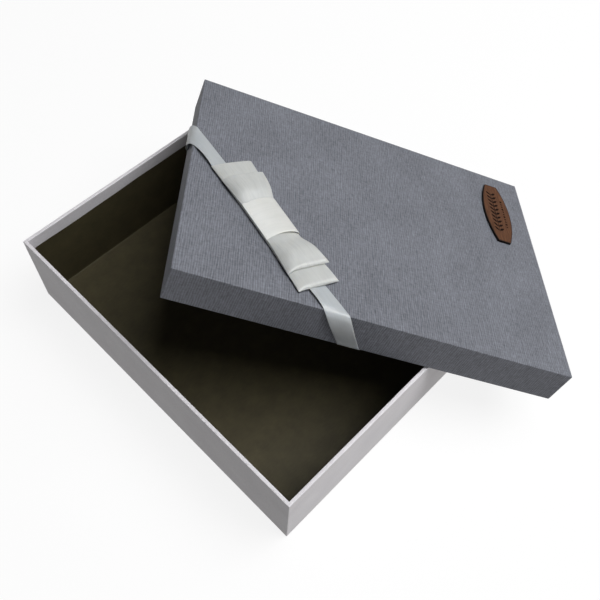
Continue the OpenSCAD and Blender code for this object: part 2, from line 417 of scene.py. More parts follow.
@dataclass(frozen=True)
class Satin(Finish):
    """Cream polyester satin ribbon.

    The eye gets a soft shine that lies across the long floats of the warp, so
    that a face brightens where its length turns level between eye and lamp. Light
    also soaks into the thin cloth, which keeps its edges from going black.
    """

    pale: str = "#d9dad4"
    shade: str = "#c2c3be"
    # The real floats are 0.1 mm apart, too fine to show: they are drawn wider.
    float_pitch: float = 0.5
    roughness: float = 0.5

    def shader(self, tree: Tree) -> Node:
        """Adds the finish's nodes, and returns the shader."""
        where = self.place(tree, Coordinates.UNFOLDED)
        floats = self.cloud(tree, where, (30, self.float_pitch, 1))
        pull = self.cloud(tree, where, (16, 7, 1))
        mottle = self.mix(tree, 0.5, floats, pull)
        colour = self.between(tree, mottle, (0.3, 0.7), (self.shade, self.pale))
        slack = self.relief(tree, pull, mm(0.5), 0.25)
        threads = self.relief(tree, floats, mm(0.05), 0.3, Normal=slack)
        shine = {
            "Roughness": self.roughness,
            "IOR": 1.65,
            "Specular IOR Level": 1.0,
            "Anisotropic": 0.8,
            "Anisotropic Rotation": 0.25,
            "Subsurface Weight": 0.45,
            "Subsurface Scale": mm(2.2),
            "Subsurface Radius": (1.0, 0.9, 0.75),
            "Tangent": add(tree, "ShaderNodeTangent", direction_type="UV_MAP").outputs[0],
        }
        return self.coat(tree, colour, threads, shine)


@dataclass(frozen=True)
class StainedWood(Finish):
    """Stained lime plywood, cut and engraved by laser.

    The eye gets a red-brown face with a close grain along its length, which the
    laser has scorched towards the cut edge.
    """

    pale: str = "#6c4831"
    shade: str = "#42291b"
    char: str = "#17100c"

    def shader(self, tree: Tree) -> Node:
        """Adds the finish's nodes, and returns the shader."""
        grain = self.cloud(tree, self.place(tree, Coordinates.UNFOLDED), (0.7, 14, 1), 3.0)
        wood = self.between(tree, grain, (0.3, 0.7), (self.shade, self.pale))
        scorch = add(tree, "ShaderNodeAttribute", attribute_name="scorch").outputs["Fac"]
        colours = {0: scorch, 6: wood, 7: linear(self.char)}
        burnt = add(tree, "ShaderNodeMix", colours, data_type="RGBA").outputs[2]
        shine = {"Roughness": 0.7, "Specular IOR Level": 0.12}
        return self.coat(tree, burnt, self.relief(tree, grain, mm(0.08), 0.5), shine)


@dataclass(frozen=True)
class StudioSweep(Finish):
    """Pale paper under the box, lit from behind. The eye gets a clean white."""

    glow: float = 0.86

    def shader(self, tree: Tree) -> Node:
        """Adds the finish's nodes, and returns the shader."""
        lit = add(tree, "ShaderNodeEmission", {"Color": (1, 1, 1, 1), "Strength": self.glow})
        paper = add(tree, "ShaderNodeBsdfDiffuse", {"Color": (0.15, 0.15, 0.15, 1)})
        return add(tree, "ShaderNodeAddShader", {0: lit.outputs[0], 1: paper.outputs[0]})


LINEN = LinenPaper("Linen-embossed paper", "linen_paper")
COVER = CoverPaper("White cover paper", "white_paper")
LINING = LiningPaper("Olive lining paper", "dark_lining")
BOARD = Greyboard("Recycled greyboard", "greyboard")
TAPE = KraftTape("Gummed kraft tape", "stay_tape")
SATIN = Satin("Cream satin ribbon", "satin_ribbon")
# The band is pulled tight, and its satin is painted lighter than the loops': a painted highlight where
# the band catches the lamp.
HIGHLIT_SATIN = Satin("Cream satin, painted highlight", "satin_ribbon", pale="#e9e8e0", shade="#dbdbd2")
# One layer of the same satin lets the grey paper under it show through, and it is also painted darker and
# bluer: painted shade with a bluish painted skylight.
SHADED_THIN_SATIN = Satin("Cream satin, one layer, painted shade", "satin_ribbon", pale="#bcc1c3", shade="#adb2b4")
WOOD = StainedWood("Stained lime plywood", "plaque_wood")
CHARRED = Char("Laser-burnt wood", "plaque_wood")
GLUE = GlueFilm("Dried adhesive", "glue")
SWEEP = StudioSweep("Studio sweep", "")


@dataclass(frozen=True)
class Place:
    """A frame on the box, with its axes along a part's own sides."""

    matrix: Matrix

    @classmethod
    def of_board(cls, name: str) -> "Place":
        """Finds the frame of a box-shaped CAD node.

        Args:
            name: The CAD node.

        Returns:
            The frame at one corner, with X along the node's longest side and Z
            through its thickness, each as near to the row's own as it can be.
        """
        corners = {tuple(round(c, 6) for c in v.co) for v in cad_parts[name].data.vertices}
        first, *others = [Vector(c) for c in sorted(corners)]
        sides = sorted((c - first for c in others), key=lambda side: side.length)
        thick, deep = sides[0].normalized(), sides[1].normalized()
        wide = min(sides[2:], key=lambda side: (abs(side.dot(deep)) + abs(side.dot(thick))) / side.length)
        across = deep if deep.y > 0 else -deep
        up = thick if thick.z > 0 else -thick
        along = across.cross(up).normalized()
        assert abs(along.dot(wide.normalized())) > 0.999
        turn = Matrix((along, across, up)).transposed().to_4x4()
        return cls(Matrix.Translation(first) @ turn)

    def moved(self, offset: Vector) -> "Place":
        """Returns the frame with its origin moved along its own axes."""
        return Place(self.matrix @ Matrix.Translation(offset))

    def points(self, name: str) -> list[Vector]:
        """Returns a CAD node's points in this frame."""
        back = self.matrix.inverted()
        return [back @ v.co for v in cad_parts[name].data.vertices]

    def box(self, name: str) -> tuple[Vector, Vector]:
        """Measures a CAD node in this frame.

        Args:
            name: The CAD node.

        Returns:
            Its lowest and its highest corner.
        """
        points = self.points(name)
        low = Vector([min(p[i] for p in points) for i in range(3)])
        high = Vector([max(p[i] for p in points) for i in range(3)])
        return low, high


@dataclass
class Surface:
    """Faces of a sheet or shell, collected before they become one piece."""

    points: list[Vector] = field(default_factory=list)
    faces: list[tuple[int, ...]] = field(default_factory=list)
    unfolded: list[list[Vector]] = field(default_factory=list)
    finish_of: list[int] = field(default_factory=list)
    scorch: list[float] = field(default_factory=list)

    def point(self, place: Vector, scorch: float = 0.0) -> int:
        """Adds a point, and returns its number."""
        self.points.append(place)
        self.scorch.append(scorch)
        return len(self.points) - 1

    def face(self, corners: list[int], unfolded: list[Vector], finish: int = 0) -> None:
        """Adds a face.

        Args:
            corners: The numbers of its points.
            unfolded: The place of each corner on the flat sheet, in metres.
            finish: Which of the piece's finishes it wears.
        """
        self.faces.append(tuple(corners))
        self.unfolded.append(unfolded)
        self.finish_of.append(finish)

    def strip(self, rows: list[list[Vector]], flat: list[list[Vector]], closed: bool = False) -> None:
        """Adds a grid of faces.

        Args:
            rows: The grid's points, row by row.
            flat: The place of each on the flat sheet. A closed grid has one row more.
            closed: Whether the last row joins the first.
        """
        numbers = [[self.point(p) for p in row] for row in rows]
        if closed:
            numbers.append(numbers[0])
        for i in range(len(numbers) - 1):
            for j in range(len(numbers[0]) - 1):
                ring = [(i, j), (i, j + 1), (i + 1, j + 1), (i + 1, j)]
                self.face([numbers[a][b] for a, b in ring], [flat[a][b] for a, b in ring])

    def piece(
        self,
        name: str,
        place: Place,
        body: str,
        finishes: list[Finish],
        nodes: list[str],
        thickness: float = 0.0,
    ) -> Piece:
        """Makes the piece, dresses it and sets it on its body.

        Args:
            name: The piece's name.
            place: The frame that the points are in.
            body: The CAD body that it rides on.
            finishes: Its finishes, the main one first.
            nodes: The CAD nodes that it stands for.
            thickness: The sheet's thickness, laid to its inner side.

        Returns:
            The piece.
        """
        mesh = bpy.data.meshes.new(name)
        mesh.from_pydata([tuple(p) for p in self.points], [], self.faces)
        layer = mesh.uv_layers.new(name="unfolded")
        corners = [corner for face in self.unfolded for corner in face]
        for loop, corner in zip(layer.data, corners):
            loop.uv = corner.to_2d()
        for polygon, finish in zip(mesh.polygons, self.finish_of):
            polygon.material_index = finish
            polygon.use_smooth = True
        scorch = mesh.attributes.new("scorch", "FLOAT", "POINT")
        scorch.data.foreach_set("value", self.scorch)
        for finish in finishes:
            mesh.materials.append(finish.material())
        made = bpy.data.objects.new(name, mesh)
        bpy.context.scene.collection.objects.link(made)
        made.matrix_world = place.matrix
        if thickness:
            solid = made.modifiers.new("thickness", "SOLIDIFY")
            solid.thickness = thickness
            solid.offset = -1
        even = made.modifiers.new("even_shading", "WEIGHTED_NORMAL")
        even.keep_sharp = True
        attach(made, body)
        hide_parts(*nodes)
        return made


class Side(Enum):
    """A side of the box, as its direction along and its direction outwards."""

    FRONT = ((1, 0), (0, -1))
    RIGHT = ((0, 1), (1, 0))
    BACK = ((-1, 0), (0, 1))
    LEFT = ((0, -1), (-1, 0))

    @property
    def along(self) -> Vector:
        """The direction along the side, anticlockwise from above."""
        return Vector(self.value[0])

    @property
    def outward(self) -> Vector:
        """The direction out of the box."""
        return Vector(self.value[1])


@dataclass(frozen=True)
class RingAt:
    """One ring of a paper that goes round the box."""

    outset: float
    height: float
    run: float


@dataclass(frozen=True)
class Wrapper:
    """A paper that goes round four walls, as rings along one profile."""

    half_width: float
    half_depth: float
    corner: float
    side_steps: int = 48
    corner_steps: int = 4

    def reach(self, side: Side) -> tuple[float, float]:
        """Returns half of a side's length, and how far out it stands."""
        if side in (Side.FRONT, Side.BACK):
            return self.half_width, self.half_depth
        return self.half_depth, self.half_width

    def outline(self, outset: float) -> list[tuple[Vector, Side]]:
        """Goes round the box once.

        Args:
            outset: How far the outline is outside the paper's outer face.

        Returns:
            Each point, and the side that the step after it lies on.
        """
        radius = max(self.corner + outset, mm(0.2))
        sides = list(Side)
        made = []
        for number, side in enumerate(sides):
            half, out = self.reach(side)
            straight, stand = half + outset - radius, out + outset
            following = sides[(number + 1) % len(sides)]
            for step in range(self.side_steps):
                along = straight * (2 * step / self.side_steps - 1)
                made.append((side.outward * stand + side.along * along, side))
            for step in range(self.corner_steps):
                turn = math.pi / 2 * step / self.corner_steps
                middle = side.outward * (stand - radius) + side.along * straight
                arm = side.outward * math.cos(turn) + side.along * math.sin(turn)
                owner = side if step < self.corner_steps / 2 else following
                made.append((middle + arm * radius, owner))
        return made

    def unfold(self, side: Side, point: Vector, run: float) -> Vector:
        """Lays a point of a side out flat.

        Args:
            side: The side.
            point: The point, seen from above.
            run: Its distance past the fold at the box's edge, along the paper.

        Returns:
            Its place on the flat sheet, whose origin is the box's middle.
        """
        return side.outward * (self.reach(side)[1] + run) + side.along * point.dot(side.along)

    def wrap(
        self,
        rings: list[RingAt],
        cap_first: bool = False,
        cap_last: bool = False,
        stray: Callable[[int, Side, float], float] | None = None,
    ) -> Surface:
        """Makes the paper.

        Args:
            rings: The rings, in order. Going down a wall, they face outwards.
            cap_first: Whether a flat panel fills the first ring.
            cap_last: Whether a flat panel fills the last ring.
            stray: Gives how far a ring's point is moved up, from the ring's number,
                the side and the place along it.

        Returns:
            The paper's surface.
        """
        made = Surface()
        outlines = [self.outline(ring.outset) for ring in rings]
        numbers = []
        for count, (ring, outline) in enumerate(zip(rings, outlines)):
            row = []
            for point, side in outline:
                lift = stray(count, side, point.dot(side.along)) if stray else 0.0
                row.append(made.point(Vector((point.x, point.y, ring.height + lift))))
            numbers.append(row)
        total = len(outlines[0])
        for i in range(len(rings) - 1):
            for j in range(total):
                side = outlines[i][j][1]
                ring = [(i, j), (i + 1, j), (i + 1, (j + 1) % total), (i, (j + 1) % total)]
                flat = [self.unfold(side, outlines[a][b][0], rings[a].run) for a, b in ring]
                made.face([numbers[a][b] for a, b in ring], flat)
        if cap_first:
            made.face(numbers[0], [point for point, _ in outlines[0]])
        if cap_last:
            made.face(numbers[-1][::-1], [point for point, _ in outlines[-1]][::-1])
        return made


def profile(
    corners: list[tuple[float, float]], radius: float, start: float, steps: int = 5
) -> list[RingAt]:
    """Rounds a profile's corners and measures along it.

    Args:
        corners: Outset and height of each corner.
        radius: How far each bend starts before its corner.
        start: The run at the first corner.
        steps: How many steps each bend has.

    Returns:
        The rings along the profile.
    """
    places = [Vector(c) for c in corners]
    made = [places[0]]
    for before, corner, after in zip(places, places[1:], places[2:]):
        reach_in = min(radius, (corner - before).length / 2)
        reach_out = min(radius, (after - corner).length / 2)
        entry = corner + (before - corner).normalized() * reach_in
        leave = corner + (after - corner).normalized() * reach_out
        for step in range(steps + 1):
            t = step / steps
            made.append(entry * (1 - t) ** 2 + corner * 2 * t * (1 - t) + leave * t**2)
    made.append(places[-1])
    rings, run = [], start
    for count, place in enumerate(made):
        run += (place - made[count - 1]).length if count else 0.0
        rings.append(RingAt(place.x, place.y, run))
    return rings


@dataclass
class Papered:
    """What the tray and the lid share: four walls of papered board.

    bend is the radius of the paper at the corners. lining_proud is how far the
    lining stands off the CAD node, so that it hides it. foot is how far the wall's
    lining turns out over the floor, and sag the radius of that turn.
    """

    bend: float
    foot: float
    lining_proud: float = mm(0.06)
    sag: float = mm(1.2)

    def measure(self, cover: tuple[Vector, Vector], lining: tuple[Vector, Vector], paper: float) -> None:
        """Keeps the sizes of the walls.

        Args:
            cover: The lowest and highest corner of the cover paper.
            lining: The lowest and highest corner of the wall's lining.
            paper: The cover paper's thickness.
        """
        self.half_width, self.half_depth, self.height = cover[1]
        self.paper = paper
        board_face = self.half_width - lining[1].x
        self.inner = -(board_face + paper)
        self.lined = self.inner - self.lining_proud

    def wrapper(self) -> Wrapper:
        """The outline that every paper goes round."""
        return Wrapper(self.half_width, self.half_depth, self.bend)


@dataclass
class Tray(Papered):
    """The open tray: white cover paper outside and dark lining inside."""

    bend: float = mm(0.6)
    foot: float = mm(4)
    cover_lap: float = mm(1.5)
    margin: float = mm(15)
    place: Place = field(default_factory=lambda: Place(Matrix.Identity(4)))

    def __post_init__(self) -> None:
        """Measures the tray on its CAD nodes."""
        cover = self.place.box("tray_outer_wrap")
        lining = self.place.box("tray_wall_lining")
        self.measure(cover, lining, cover[0].z)
        self.turn_in = self.height - lining[1].z
        self.floor = self.place.box("tray_floor_lining")[1].z

    def cover(self) -> Piece:
        """Wraps the walls: up inside, over the rim, down outside and under the floor.

        Returns:
            The cover paper.
        """
        hem = self.turn_in + self.cover_lap
        corners = [
            (self.inner, self.height - hem),
            (self.inner, self.height),
            (0, self.height),
            (0, self.paper),
            (-self.margin, self.paper),
        ]
        rings = profile(corners, self.bend, self.inner - hem)
        surface = self.wrapper().wrap(rings)
        nodes = ["tray_outer_wrap"]
        return surface.piece("tray_cover_paper", self.place, "tray", [COVER], nodes, self.paper)

    def wall_lining(self) -> Piece:
        """Lines the walls, with a hand-cut upper edge over the turned-in cover.

        Returns:
            The wall lining.
        """
        floor = self.floor + self.lining_proud
        top = self.height - self.turn_in
        corners = [(self.lined - self.foot, floor), (self.lined, floor), (self.lined, top)]
        rings = profile(corners, self.sag, 0.0)

        def stray(ring: int, side: Side, along: float) -> float:
            """Moves the last ring up and down a little."""
            seed = side.outward.x * 2 + side.outward.y
            return hand_cut(along, seed) if ring == len(rings) - 1 else 0.0

        surface = self.wrapper().wrap(rings, stray=stray)
        nodes = ["tray_wall_lining"]
        return surface.piece("tray_wall_lining_paper", self.place, "tray", [LINING], nodes, mm(0.2))

    def floor_lining(self) -> Piece:
        """Lays the floor's lining, which has cockled slightly as its glue dried.

        Returns:
            The floor lining.
        """
        low, high = self.place.box("tray_floor_lining")
        columns, rows = 60, 44
        grid = []
        for j in range(rows + 1):
            y = low.y + (high.y - low.y) * j / rows
            row = []
            for i in range(columns + 1):
                x = low.x + (high.x - low.x) * i / columns
                cockle = math.sin(x / mm(21) + math.sin(y / mm(33))) * math.sin(y / mm(26) + x / mm(90))
                row.append(Vector((x, y, high.z + mm(0.1) * cockle)))
            grid.append(row)
        surface = Surface()
        surface.strip(grid, [[p.to_2d() for p in row] for row in grid])
        nodes = ["tray_floor_lining"]
        return surface.piece("tray_floor_lining_paper", self.place, "tray", [LINING], nodes, mm(0.15))

    def build(self) -> list[Piece]:
        """Makes the tray's papers."""
        return [self.cover(), self.wall_lining(), self.floor_lining()]


@dataclass
class Lid(Papered):
    """The leaning lid: linen paper outside and dark lining inside."""

    bend: float = mm(0.75)
    foot: float = mm(8)
    cover_lap: float = mm(1.5)
    ceiling_gap: float = mm(0.3)
    panel_inset: float = mm(6)

    def __post_init__(self) -> None:
        """Measures the lid on its CAD nodes, in a frame on its skirt's lower edge."""
        corner = Place.of_board("lid_top_board")
        low, high = corner.box("lid_linen_wrap")
        middle = (low + high) / 2
        self.place = corner.moved(Vector((middle.x, middle.y, low.z)))
        cover = self.place.box("lid_linen_wrap")
        lining = self.place.box("lid_lining")
        self.measure(cover, lining, cover[1].z - self.place.box("lid_top_board")[1].z)
        self.turn_in, self.ceiling = lining[0].z, lining[1].z

    def linen(self) -> Piece:
        """Wraps the lid: over the top, down the skirt and turned in under it.

        Returns:
            The linen paper.
        """
        corners = [
            (-self.panel_inset, self.height),
            (0, self.height),
            (0, 0),
            (self.inner, 0),
            (self.inner, self.turn_in + self.cover_lap),
        ]
        rings = profile(corners, self.bend, -self.panel_inset)
        surface = self.wrapper().wrap(rings, cap_first=True)
        nodes = ["lid_linen_wrap"]
        return surface.piece("lid_linen_paper", self.place, "lid", [LINEN], nodes, self.paper)

    def lining(self) -> Piece:
        """Lines the inside, with a hand-cut edge over the turned-in linen.

        Returns:
            The lining.
        """
        ceiling = self.ceiling - self.ceiling_gap
        corners = [(self.lined, self.turn_in), (self.lined, ceiling), (self.lined - self.foot, ceiling)]
        rings = profile(corners, self.sag, 0.0)

        def stray(ring: int, side: Side, along: float) -> float:
            """Moves the first ring up and down a little."""
            return hand_cut(along, side.outward.x + side.outward.y * 3) if ring == 0 else 0.0

        surface = self.wrapper().wrap(rings, cap_last=True, stray=stray)
        nodes = ["lid_lining"]
        return surface.piece("lid_lining_paper", self.place, "lid", [LINING], nodes, mm(0.2))

    def build(self) -> list[Piece]:
        """Makes the lid's papers."""
        return [self.linen(), self.lining()]


@dataclass
class RibbonBand:
    """The narrow ribbon across the lid's front left corner, glued inside the skirt.

    It was stretched over the corner and has slackened: it lifts off the lid
    before each fold, and bulges beside it. Its edge by the lid's corner lifts the
    most. The other one, nearer the lid's middle, lifts by only lean of that.
    """

    lid: Lid
    bend: float = mm(5)
    tail: float = mm(9)
    twist: float = 0.17
    left_slack: Turns = ((32, 0), (21, 0.7), (12, 2.9), (6, 2.6), (2, 1.0))
    left_bulge: Turns = ((2.0, 1.6), (3.2, 7), (2.6, 18), (1.2, 26))
    front_slack: Turns = ((34, 0), (20, 1.5), (8, 1.8), (2, 1.1))
    front_bulge: Turns = ((1.7, 0.8), (2.6, 5), (2.6, 12), (1.6, 20), (0.5, 26))
    lean: float = 0.12
    lead: float = mm(100)
    columns: int = 12
    steps: int = 420

    def __post_init__(self) -> None:
        """Finds the ribbon's line, width and drift on its CAD node."""
        points = self.lid.place.points("ribbon_band")
        top = max(p.z for p in points)
        self.thickness = top - self.lid.height
        near = self.thickness / 2
        upper = [p for p in points if p.z > top - near]
        lower = [p for p in points if p.z < -near]
        left = min(p.x for p in upper)
        front = min(p.y for p in upper)
        on_left = [p.y for p in upper if p.x < left + near]
        on_front = [p.x for p in upper if p.y < front + near]
        start = Vector((left, sum(on_left) / len(on_left)))
        end = Vector((sum(on_front) / len(on_front), front))
        self.along = (end - start).normalized()
        self.middle = (start + end) / 2
        self.width = (max(on_left) - min(on_left)) * self.along.x
        low_left = [p.y for p in lower if p.x < left + near]
        low_front = [p.x for p in lower if p.y < front + near]
        fall = self.lid.height
        self.left_drift = (sum(low_left) / len(low_left) - start.y) / fall
        self.front_drift = (sum(low_front) / len(low_front) - end.x) / fall

    def fold(
        self, slack: Turns, bulge: Turns
    ) -> list[RingAt]:
        """The ribbon's way over an edge, down the skirt and up inside it.

        Args:
            slack: How far before the edge, and how high above the lid, in millimetres.
            bulge: How far off the skirt, and how far down it, in millimetres.

        Returns:
            The way.
        """
        t, top = self.thickness, self.lid.height
        inner = self.lid.inner
        corners = [
            (-self.lead, top + t),
            *[(-mm(before), top + t + mm(high)) for before, high in slack],
            *[(t + mm(off), top - mm(down)) for off, down in bulge],
            (t + mm(0.2), -t),
            (inner - t, -t),
            (inner - t, self.tail),
        ]
        return profile(corners, self.bend, -self.lead, 6)

    def folded(self, path: list[RingAt], run: float, lift: float) -> Vector:
        """Finds a point of the ribbon in the plane across an edge.

        Args:
            path: The way over the edge.
            run: How far the point is along the way.
            lift: How much of the slack it takes up, from 0 to 1.

        Returns:
            The point's outset and its height.
        """
        for a, b in zip(path, path[1:]):
            if run <= b.run and b.run > a.run:
                break
        share = (run - a.run) / (b.run - a.run)
        spot = Vector((a.outset, a.height)).lerp(Vector((b.outset, b.height)), share)
        level = self.lid.height + self.thickness
        spot.y = min(spot.y, level) + max(spot.y - level, 0.0) * lift
        return spot

    def build(self) -> list[Piece]:
        """Makes the ribbon.

        Returns:
            The ribbon, laid out on the flat sheet that it was cut from.
        """
        left_way = self.fold(self.left_slack, self.left_bulge)
        front_way = self.fold(self.front_slack, self.front_bulge)
        half_w, half_d = self.lid.half_width, self.lid.half_depth
        fall = self.lid.height + self.thickness
        across = Vector((-self.along.y, self.along.x))
        left_run = abs(self.along.y / self.along.x)
        front_run = 1 / left_run
        first = (-half_w - left_way[-1].run - self.middle.x) / self.along.x + left_run * self.width / 2
        last = (-half_d - front_way[-1].run - self.middle.y) / self.along.y - front_run * self.width / 2
        rows, flat = [], []
        for i in range(self.steps + 1):
            s = first + (last - first) * i / self.steps
            row, spread = [], []
            for j in range(self.columns + 1):
                w = self.width * (j / self.columns - 0.5)
                lift = 1 - (1 - self.lean) * j / self.columns
                lying = self.middle + self.along * s + across * w
                line = self.middle + self.along * s
                if s < 0:
                    run = -half_w - lying.x
                    past = min(max(run, 0.0), fall)
                    place = self.folded(left_way, run, lift)
                    y = lying.y - past * (left_run - self.left_drift)
                    row.append(Vector((-half_w - place.x, y, place.y)))
                else:
                    run = -half_d - lying.y
                    past = min(max(run, 0.0), fall)
                    place = self.folded(front_way, run, lift)
                    x = lying.x - past * (front_run - self.front_drift)
                    x -= (lying.x - line.x) * self.twist * ease(past / fall)
                    row.append(Vector((x, -half_d - place.x, place.y)))
                spread.append(Vector((s, w)))
            rows.append(row)
            flat.append(spread)
        surface = Surface()
        surface.strip(rows, flat)
        name = "ribbon_band_satin"
        # The narrow ribbon wears satin painted darker and bluer: partly show-through, partly painted
        # shade.
        made = surface.piece(name, self.lid.place, "lid", [SHADED_THIN_SATIN], ["ribbon_band"], self.thickness)
        return [made]


@dataclass(frozen=True)
class LoopShape:
    """How one loop of the bow lies, in metres above the glue pad.

    waist and rise are the heights of its lower and upper face under the centre
    band, and out by its ends. crest is how far from its end the upper face is
    highest, and dip is how far it falls from there before it folds under. slip is
    how far it has slipped along the bow, tip how much its left end lifts, and droop
    how far the edge by the lid's corner hangs below the rest.
    """

    waist: tuple[float, float]
    rise: tuple[float, float]
    crest: float
    dip: float
    slip: float = 0.0
    tip: float = 0.0
    droop: float = 0.0


@dataclass
class Bow:
    """The flat bow: two flattened loops of wide satin, and the band round them.

    The band pinches the loops off centre by waist_shift, and the whole bow has
    slipped across the narrow ribbon by across_slip and along it by band_slip.
    dome and end_dome are how far a face crowns by the band and by an end. The
    loops' edge by the lid's corner is soft and rounded, and the other is firm.
    """

    ribbon: float = mm(0.25)
    columns: int = 28
    lengths: int = 76
    round_end: float = mm(2.6)
    edge_pinch: float = 0.94
    edge_height: float = 0.2
    under_band: float = mm(2)
    gather_depth: float = mm(0.55)
    gather_reach: float = mm(20)
    dome_reach: float = mm(24)
    tip_reach: float = mm(30)
    waist_shift: float = mm(-1.8)
    across_slip: float = mm(1.6)
    dome: float = mm(1.5)
    end_dome: float = mm(0.4)
    band_slip: float = mm(-1.2)
    band_side: float = mm(4.7)
    band_fall: float = mm(1.9)
    soft_edge: float = 5.0
    firm_edge: float = 11.0
    lower: LoopShape = LoopShape(
        waist=(mm(0.15), mm(1.5)),
        rise=(mm(0.6), mm(3.3)),
        crest=mm(9),
        dip=mm(0.5),
        slip=mm(0.8),
        tip=mm(0.4),
        droop=mm(0.4),
    )
    upper: LoopShape = LoopShape(
        waist=(mm(1.7), mm(2.9)),
        rise=(mm(4.1), mm(7.1)),
        crest=mm(12),
        dip=mm(0.9),
        slip=mm(1.2),
        droop=mm(2.8),
    )

    def __post_init__(self) -> None:
        """Measures the bow on its CAD nodes, in a frame on its glue pad."""
        corner = Place.of_board("bow_glue_pad")
        low, high = corner.box("bow_glue_pad")
        middle = (low + high) / 2
        self.place = corner.moved(Vector((middle.x, middle.y, high.z)))
        low, high = self.place.box("bow_centre_band")
        self.band_half = high.x
        self.waist = high.y - mm(0.5)

    def sides(self, x: float, end: float, widest: float) -> tuple[float, float]:
        """Finds a loop's two edges.

        Args:
            x: Place along the bow, from its middle.
            end: Where the loop ends.
            widest: Half of the ribbon's width.

        Returns:
            Both edges there: the centre band pinches one side more.
        """
        free = max(abs(x) - self.band_half - mm(1), 0.0) / (end - self.band_half - mm(1))
        quick = 0.5 * free + 0.5 * math.sin(min(free, 1.0) * math.pi / 2)
        near = self.waist_shift - self.waist
        far = self.waist_shift + self.waist
        return near - (widest + near) * free, far + (widest - far) * quick

    def puff(self, x: float, q: float) -> float:
        """How far the pinch makes a face crown.

        Args:
            x: Place along the bow.
            q: Place across it, from -1 to 1.

        Returns:
            The height to add.
        """
        open_share = ease((abs(x) - self.band_half * 0.8) / self.dome_reach)
        crown = self.dome + (self.end_dome - self.dome) * open_share
        return crown * (1 - q * q)

    def risen(self, shape: LoopShape, x: float, end: float) -> float:
        """How far a loop has risen from under the band, from 0 to 1.

        Args:
            shape: The loop.
            x: Place along the bow.
            end: Where the loop ends.

        Returns:
            The share.
        """
        covered = self.band_half - self.under_band
        return ease((abs(x) - covered) / (end - shape.crest - self.band_half))

    def top(self, shape: LoopShape, x: float, q: float, end: float) -> float:
        """Height of a loop's upper face, before it folds under at the ends.

        A shallow gather runs slantwise out from the band, deeper on the left.

        Args:
            shape: The loop.
            x: Place along the bow.
            q: Place across it, from -1 to 1.
            end: Where the loop ends.

        Returns:
            The height.
        """
        out = self.risen(shape, x, end)
        fall = ease((abs(x) - (end - shape.crest)) / shape.crest)
        side = 1 if x > 0 else -1
        past_band = abs(x) - self.band_half
        near = ease(past_band / mm(4)) * ease((end - mm(6) - abs(x)) / mm(16))
        slant = q - 0.1 - 0.25 * side * past_band / self.gather_reach
        gather = math.exp(-((slant / 0.3) ** 2))
        level = shape.waist[1] + (shape.rise[1] - shape.waist[1]) * out - shape.dip * fall
        return level + self.puff(x, q) - self.gather_depth * near * gather * (1 if side < 0 else 0.5)

    def loop(self, name: str, node: str, shape: LoopShape) -> Piece:
        """Folds one loop and flattens it.

        Args:
            name: The piece's name.
            node: The CAD node that it stands for.
            shape: How it lies.

        Returns:
            The loop, laid out on the flat sheet that it was cut from.
        """
        end, widest, _ = self.place.box(node)[1]
        evenly = [-end * math.cos(math.pi * i / self.lengths) for i in range(self.lengths + 1)]
        places = [x * (0.75 + 0.25 * abs(x) / end) for x in evenly]
        way = [(x, True) for x in places[:-1]] + [(x, False) for x in places[:0:-1]]
        rows, flat, run, last = [], [], 0.0, None
        for x, upward in way:
            left, right = self.sides(x, end, widest)
            out = self.risen(shape, x, end)
            tip = shape.tip * ease(-(x + self.band_half) / self.tip_reach)
            bottom = shape.waist[0] + (shape.rise[0] - shape.waist[0]) * out + tip
            past = min(max(1 - (end - abs(x)) / self.round_end, 0.0), 1.0)
            closed = math.sqrt(max(1 - past**2.2, 0.0))
            row = []
            for j in range(self.columns + 1):
                q = math.sin(math.pi / 2 * (2 * j / self.columns - 1))
                ceiling = self.top(shape, x, q, end) + tip
                tuck = 1 - self.edge_pinch * abs(q) ** (self.soft_edge if q < 0 else self.firm_edge)
                middle = bottom + (ceiling - bottom) * self.edge_height
                half = (ceiling - middle if upward else middle - bottom) * closed * tuck
                middle -= shape.droop * out * max(-q, 0.0) ** 5
                y = (left + right) / 2 + (right - left) / 2 * q
                height = middle + half if upward else middle - half
                row.append(Vector((x + shape.slip, y + self.across_slip, height)))
            centre = row[self.columns // 2]
            run += (centre - last).length if last else 0.0
            last = centre
            rows.append(row)
            turns = [math.pi * (j / self.columns - 0.5) for j in range(self.columns + 1)]
            flat.append([Vector((run, widest * math.sin(turn))) for turn in turns])
        run += (rows[0][self.columns // 2] - last).length
        flat.append([Vector((run, p.y)) for p in flat[0]])
        surface = Surface()
        surface.strip(rows, flat, closed=True)
        made = surface.piece(name, self.place, "lid", [SATIN], [node], self.ribbon)
        return made

    def band(self) -> Piece:
        """Wraps the centre band round both loops.

        Returns:
            The band, laid out on the flat sheet that it was cut from.
        """
        turns, lengths = 72, 28
        half_w = self.waist + mm(0.45)
        side_top, side_low = self.band_side, mm(0.05)
        rows, flat, run, last = [], [], 0.0, None
        for i in range(turns):
            turn = 2 * math.pi * i / turns + math.pi / 4
            c, s = math.cos(turn), math.sin(turn)
            q = math.copysign(abs(c) ** 0.5, c)
            rise = math.copysign(abs(s) ** 0.5, s)
            middle = (side_top + side_low) / 2
            z = middle + (side_top - middle) * rise
            y = self.waist_shift + self.across_slip + half_w * q
            upward = max(rise, 0.0)
            z -= self.band_fall * max(-q, 0.0) ** 1.5 * upward
            spot = Vector((0, y, z + (self.dome + mm(0.5)) * (1 - q * q) * upward))
            run += (spot - last).length if last else 0.0
            last = spot
            row = []
            for j in range(lengths + 1):
                t = 2 * j / lengths - 1
                x = t * self.band_half + self.band_slip
                crown = self.dome + mm(0.5) - mm(0.4) * t * t
                lean = mm(-0.35) * math.sin(math.pi * q)
                x += (mm(-1.3) * ease(t) * (1 - q * q) + mm(0.6) * q) * upward
                row.append(Vector((x, y, z + (crown * (1 - q * q) - lean) * upward)))
            rows.append(row)
            spread = [self.band_half * (2 * j / lengths - 1) for j in range(lengths + 1)]
            flat.append([Vector((run, width)) for width in spread])
        run += (rows[0][lengths // 2] - rows[-1][lengths // 2]).length
        flat.append([Vector((run, p.y)) for p in flat[0]])
        surface = Surface()
